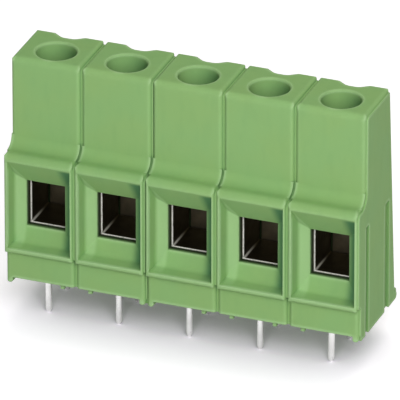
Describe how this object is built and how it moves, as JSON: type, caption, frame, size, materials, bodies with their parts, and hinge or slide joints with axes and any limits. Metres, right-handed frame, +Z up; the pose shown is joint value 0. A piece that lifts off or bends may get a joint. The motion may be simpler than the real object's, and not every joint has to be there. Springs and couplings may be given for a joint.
{
  "type": "pcb screw terminal",
  "caption": "Row of tall screw clamp terminals for a circuit board: moulded housings with wire funnels, rising clamp cages, captive screws and solder pins.",
  "frame": {"origin": "middle of the two rows of solder pins, on the top face of the circuit board", "axes": "+X along the row to the right as seen from the wire side, -Y towards the incoming wires, +Z up away from the board"},
  "size_m": [0.0512, 0.0156, 0.0375],
  "materials": {
    "housing_plastic": "satin moulded polyamide",
    "cage_nickel": "bright nickel plate",
    "screw_steel": "zinc plated steel",
    "contact_tin": "matt tin plate"
  },
  "bodies": {
    "terminal_block": {"housing_2_pole": "housing_plastic", "housing_3_pole": "housing_plastic", "contact_1": "contact_tin", "contact_2": "contact_tin", "contact_3": "contact_tin", "contact_4": "contact_tin", "contact_5": "contact_tin"},
    "screw_1": {"clamp_screw_1": "screw_steel"},
    "cage_1": {"clamp_cage_1": "cage_nickel"},
    "screw_2": {"clamp_screw_2": "screw_steel"},
    "cage_2": {"clamp_cage_2": "cage_nickel"},
    "screw_3": {"clamp_screw_3": "screw_steel"},
    "cage_3": {"clamp_cage_3": "cage_nickel"},
    "screw_4": {"clamp_screw_4": "screw_steel"},
    "cage_4": {"clamp_cage_4": "cage_nickel"},
    "screw_5": {"clamp_screw_5": "screw_steel"},
    "cage_5": {"clamp_cage_5": "cage_nickel"}
  },
  "joints": [
    {"name": "screw_turn_1", "type": "hinge", "parent": "terminal_block", "child": "screw_1", "pos_m": [-0.02032, -0.0002, 0.0251], "axis": [0, 0, -1], "range_deg": [0, 3240]},
    {"name": "cage_lift_1", "type": "slide", "parent": "terminal_block", "child": "cage_1", "axis": [0, 0, 1], "range_m": [0, 0.0063]},
    {"name": "screw_turn_2", "type": "hinge", "parent": "terminal_block", "child": "screw_2", "pos_m": [-0.01016, -0.0002, 0.0251], "axis": [0, 0, -1], "range_deg": [0, 3240]},
    {"name": "cage_lift_2", "type": "slide", "parent": "terminal_block", "child": "cage_2", "axis": [0, 0, 1], "range_m": [0, 0.0063]},
    {"name": "screw_turn_3", "type": "hinge", "parent": "terminal_block", "child": "screw_3", "pos_m": [0, -0.0002, 0.0251], "axis": [0, 0, -1], "range_deg": [0, 3240]},
    {"name": "cage_lift_3", "type": "slide", "parent": "terminal_block", "child": "cage_3", "axis": [0, 0, 1], "range_m": [0, 0.0063]},
    {"name": "screw_turn_4", "type": "hinge", "parent": "terminal_block", "child": "screw_4", "pos_m": [0.01016, -0.0002, 0.0251], "axis": [0, 0, -1], "range_deg": [0, 3240]},
    {"name": "cage_lift_4", "type": "slide", "parent": "terminal_block", "child": "cage_4", "axis": [0, 0, 1], "range_m": [0, 0.0063]},
    {"name": "screw_turn_5", "type": "hinge", "parent": "terminal_block", "child": "screw_5", "pos_m": [0.02032, -0.0002, 0.0251], "axis": [0, 0, -1], "range_deg": [0, 3240]},
    {"name": "cage_lift_5", "type": "slide", "parent": "terminal_block", "child": "cage_5", "axis": [0, 0, 1], "range_m": [0, 0.0063]}
  ],
  "couplings": [
    {"joint": "screw_turn_1", "follows": "cage_lift_1", "rad_per_m": 8976},
    {"joint": "screw_turn_2", "follows": "cage_lift_2", "rad_per_m": 8976},
    {"joint": "screw_turn_3", "follows": "cage_lift_3", "rad_per_m": 8976},
    {"joint": "screw_turn_4", "follows": "cage_lift_4", "rad_per_m": 8976},
    {"joint": "screw_turn_5", "follows": "cage_lift_5", "rad_per_m": 8976}
  ]
}
